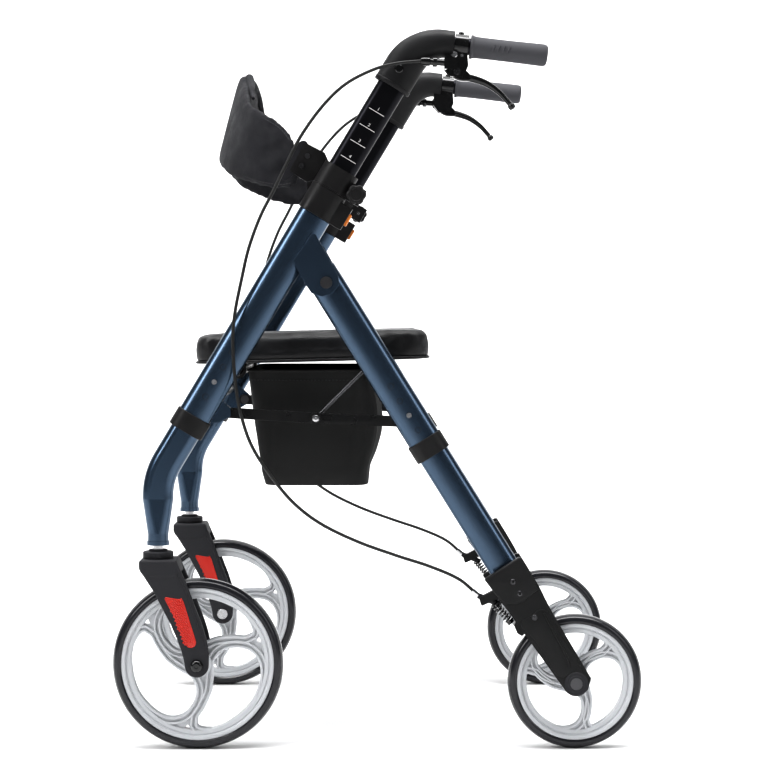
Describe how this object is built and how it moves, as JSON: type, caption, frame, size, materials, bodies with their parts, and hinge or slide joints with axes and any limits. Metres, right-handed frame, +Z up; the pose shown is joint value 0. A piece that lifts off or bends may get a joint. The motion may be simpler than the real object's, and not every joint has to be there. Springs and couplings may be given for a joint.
{
  "type": "rollator walker",
  "caption": "Folding wheeled walking frame with padded seat, back strap, storage pouch, height-adjustable handles and loop brakes.",
  "frame": {"origin": "on the floor, under the centre of the bounding box", "axes": "+Z up, -X the direction of travel, +Y the right-hand side of the user"},
  "size_m": [0.788, 0.63, 1.0656],
  "materials": {
    "frame_paint": "metallic satin",
    "dark_plastic": "satin",
    "cross_metal": "satin black",
    "post_gloss": "gloss black",
    "grip_rubber": "matte",
    "lever_black": "gloss black",
    "orange_plastic": "satin",
    "silver_steel": "bright zinc",
    "fork_black": "satin black",
    "reflector_red": "clear red",
    "tyre_black": "gloss",
    "rim_silver": "silver paint",
    "seat_vinyl": "leather-grain vinyl",
    "board_plastic": "matte",
    "bag_vinyl": "shiny vinyl",
    "strap_fabric": "woven charcoal",
    "cable_jacket": "satin"
  },
  "bodies": {
    "front_frame": {"main_tubes": "frame_paint", "main_collars": "dark_plastic", "backrest_clamps": "dark_plastic", "hinge_brackets": "frame_paint", "frame_bolts": "silver_steel", "front_cross_tubes": "cross_metal", "backrest_pad": "strap_fabric", "bag": "bag_vinyl", "brake_cables": "cable_jacket"},
    "rear_frame": {"rear_tubes": "frame_paint", "rear_collars": "dark_plastic"},
    "seat": {"seat_pad": "seat_vinyl", "seat_board": "board_plastic"},
    "front_brace": {"front_brace_links": "cross_metal"},
    "rear_brace": {"rear_brace_links": "cross_metal"},
    "lift_rods": {"seat_lift_rods": "silver_steel"},
    "left_handle": {"left_handle_post": "post_gloss", "left_elbow_cover": "dark_plastic", "left_grip": "grip_rubber", "left_brake_perch": "lever_black"},
    "left_lever": {"left_brake_lever": "lever_black"},
    "left_knob": {"left_clamp_knob": "dark_plastic"},
    "left_release": {"left_release_button": "orange_plastic"},
    "left_front_leg_body": {"left_front_leg": "frame_paint"},
    "left_front_snap": {"left_front_snap_button": "silver_steel"},
    "left_caster": {"left_caster_fork": "fork_black", "left_caster_stem_and_axle": "silver_steel", "left_reflector": "reflector_red"},
    "left_front_wheel": {"left_front_rim": "rim_silver", "left_front_tyre": "tyre_black"},
    "left_rear_leg_body": {"left_rear_leg": "frame_paint", "left_rear_fork": "fork_black", "left_rear_axle_and_screws": "silver_steel", "left_brake_spring": "silver_steel"},
    "left_rear_snap": {"left_rear_snap_button": "silver_steel"},
    "left_shoe": {"left_brake_shoe": "dark_plastic"},
    "left_rear_wheel": {"left_rear_rim": "rim_silver", "left_rear_tyre": "tyre_black"},
    "right_handle": {"right_handle_post": "post_gloss", "right_elbow_cover": "dark_plastic", "right_grip": "grip_rubber", "right_brake_perch": "lever_black"},
    "right_lever": {"right_brake_lever": "lever_black"},
    "right_knob": {"right_clamp_knob": "dark_plastic"},
    "right_release": {"right_release_button": "orange_plastic"},
    "right_front_leg_body": {"right_front_leg": "frame_paint"},
    "right_front_snap": {"right_front_snap_button": "silver_steel"},
    "right_caster": {"right_caster_fork": "fork_black", "right_caster_stem_and_axle": "silver_steel", "right_reflector": "reflector_red"},
    "right_front_wheel": {"right_front_rim": "rim_silver", "right_front_tyre": "tyre_black"},
    "right_rear_leg_body": {"right_rear_leg": "frame_paint", "right_rear_fork": "fork_black", "right_rear_axle_and_screws": "silver_steel", "right_brake_spring": "silver_steel"},
    "right_rear_snap": {"right_rear_snap_button": "silver_steel"},
    "right_shoe": {"right_brake_shoe": "dark_plastic"},
    "right_rear_wheel": {"right_rear_rim": "rim_silver", "right_rear_tyre": "tyre_black"}
  },
  "joints": [
    {"name": "fold", "type": "hinge", "parent": "front_frame", "child": "rear_frame", "pos_m": [-0.0755, 0, 0.6927], "axis": [0, 1, 0], "range_deg": [0, 28], "deforming": ["brake_cables", "bag"]},
    {"name": "front_brace_turn", "type": "hinge", "parent": "front_frame", "child": "front_brace", "pos_m": [-0.228, 0, 0.499], "axis": [0, 1, 0], "range_deg": [-40.7, 0]},
    {"name": "rear_brace_turn", "type": "hinge", "parent": "rear_frame", "child": "rear_brace", "pos_m": [0.053, 0, 0.485], "axis": [0, 1, 0], "range_deg": [0, 35.6]},
    {"name": "seat_turn", "type": "hinge", "parent": "front_frame", "child": "seat", "pos_m": [-0.215, 0, 0.56], "axis": [0, 1, 0], "range_deg": [-26.2, 0]},
    {"name": "lift_rod_turn", "type": "hinge", "parent": "front_brace", "child": "lift_rods", "pos_m": [-0.092, 0, 0.4905], "axis": [0, 1, 0], "range_deg": [0, 42.6]},
    {"name": "left_handle_slide", "type": "slide", "parent": "front_frame", "child": "left_handle", "axis": [0.515, 0, 0.8572], "range_m": [-0.1016, 0], "deforming": ["brake_cables"]},
    {"name": "left_lever_squeeze", "type": "hinge", "parent": "left_handle", "child": "left_lever", "pos_m": [0.1174, -0.28, 1.0038], "axis": [0, 1, 0], "range_deg": [-14, 0], "stiffness_Nm_per_rad": 1},
    {"name": "left_knob_turn", "type": "hinge", "parent": "front_frame", "child": "left_knob", "pos_m": [-0.0311, -0.28, 0.82155], "axis": [0, 1, 0], "range_deg": [0, 360]},
    {"name": "left_release_press", "type": "slide", "parent": "front_frame", "child": "left_release", "axis": [-0.8572, 0, 0.515], "range_m": [0, 0.003], "stiffness_N_per_m": 600},
    {"name": "left_front_leg_slide", "type": "slide", "parent": "front_frame", "child": "left_front_leg_body", "axis": [-0.515, 0, -0.8572], "range_m": [-0.0508, 0.0254], "deforming": ["left_front_snap_button"]},
    {"name": "left_front_snap_press", "type": "slide", "parent": "left_front_leg_body", "child": "left_front_snap", "axis": [0, 1, 0], "range_m": [0, 0.0045], "stiffness_N_per_m": 600},
    {"name": "left_caster_swivel", "type": "hinge", "parent": "left_front_leg_body", "child": "left_caster", "pos_m": [-0.326, -0.28, 0.29], "axis": [0, 0, 1], "continuous": true},
    {"name": "left_front_wheel_spin", "type": "hinge", "parent": "left_caster", "child": "left_front_wheel", "pos_m": [-0.267, -0.28, 0.127], "axis": [0, 1, 0], "continuous": true},
    {"name": "left_rear_leg_slide", "type": "slide", "parent": "rear_frame", "child": "left_rear_leg_body", "axis": [0.529, 0, -0.8486], "range_m": [-0.0508, 0.0254], "deforming": ["left_rear_snap_button", "brake_cables"]},
    {"name": "left_rear_snap_press", "type": "slide", "parent": "left_rear_leg_body", "child": "left_rear_snap", "axis": [0, 1, 0], "range_m": [0, 0.0045], "stiffness_N_per_m": 600},
    {"name": "left_brake_shoe_press", "type": "hinge", "parent": "left_rear_leg_body", "child": "left_shoe", "pos_m": [0.222, -0.28, 0.195], "axis": [0, 1, 0], "range_deg": [-3.5, 0], "deforming": ["left_brake_spring"]},
    {"name": "left_rear_wheel_spin", "type": "hinge", "parent": "left_rear_leg_body", "child": "left_rear_wheel", "pos_m": [0.294, -0.28, 0.1], "axis": [0, 1, 0], "continuous": true},
    {"name": "right_handle_slide", "type": "slide", "parent": "front_frame", "child": "right_handle", "axis": [0.515, 0, 0.8572], "range_m": [-0.1016, 0], "deforming": ["brake_cables"]},
    {"name": "right_lever_squeeze", "type": "hinge", "parent": "right_handle", "child": "right_lever", "pos_m": [0.1174, 0.28, 1.0038], "axis": [0, 1, 0], "range_deg": [-14, 0], "stiffness_Nm_per_rad": 1},
    {"name": "right_knob_turn", "type": "hinge", "parent": "front_frame", "child": "right_knob", "pos_m": [-0.0311, 0.28, 0.82155], "axis": [0, 1, 0], "range_deg": [0, 360]},
    {"name": "right_release_press", "type": "slide", "parent": "front_frame", "child": "right_release", "axis": [-0.8572, 0, 0.515], "range_m": [0, 0.003], "stiffness_N_per_m": 600},
    {"name": "right_front_leg_slide", "type": "slide", "parent": "front_frame", "child": "right_front_leg_body", "axis": [-0.515, 0, -0.8572], "range_m": [-0.0508, 0.0254], "deforming": ["right_front_snap_button"]},
    {"name": "right_front_snap_press", "type": "slide", "parent": "right_front_leg_body", "child": "right_front_snap", "axis": [0, -1, 0], "range_m": [0, 0.0045], "stiffness_N_per_m": 600},
    {"name": "right_caster_swivel", "type": "hinge", "parent": "right_front_leg_body", "child": "right_caster", "pos_m": [-0.326, 0.28, 0.29], "axis": [0, 0, 1], "continuous": true},
    {"name": "right_front_wheel_spin", "type": "hinge", "parent": "right_caster", "child": "right_front_wheel", "pos_m": [-0.267, 0.28, 0.127], "axis": [0, 1, 0], "continuous": true},
    {"name": "right_rear_leg_slide", "type": "slide", "parent": "rear_frame", "child": "right_rear_leg_body", "axis": [0.529, 0, -0.8486], "range_m": [-0.0508, 0.0254], "deforming": ["right_rear_snap_button", "brake_cables"]},
    {"name": "right_rear_snap_press", "type": "slide", "parent": "right_rear_leg_body", "child": "right_rear_snap", "axis": [0, -1, 0], "range_m": [0, 0.0045], "stiffness_N_per_m": 600},
    {"name": "right_brake_shoe_press", "type": "hinge", "parent": "right_rear_leg_body", "child": "right_shoe", "pos_m": [0.222, 0.28, 0.195], "axis": [0, 1, 0], "range_deg": [-3.5, 0], "deforming": ["right_brake_spring"]},
    {"name": "right_rear_wheel_spin", "type": "hinge", "parent": "right_rear_leg_body", "child": "right_rear_wheel", "pos_m": [0.294, 0.28, 0.1], "axis": [0, 1, 0], "continuous": true}
  ],
  "couplings": [
    {"joint": "front_brace_turn", "follows": "fold", "ratio": -1.4529},
    {"joint": "rear_brace_turn", "follows": "fold", "ratio": 1.2679},
    {"joint": "seat_turn", "follows": "fold", "ratio": -0.93196},
    {"joint": "lift_rod_turn", "follows": "fold", "ratio": 1.5188},
    {"joint": "left_brake_shoe_press", "follows": "left_lever_squeeze", "ratio": 0.25},
    {"joint": "right_brake_shoe_press", "follows": "right_lever_squeeze", "ratio": 0.25}
  ]
}
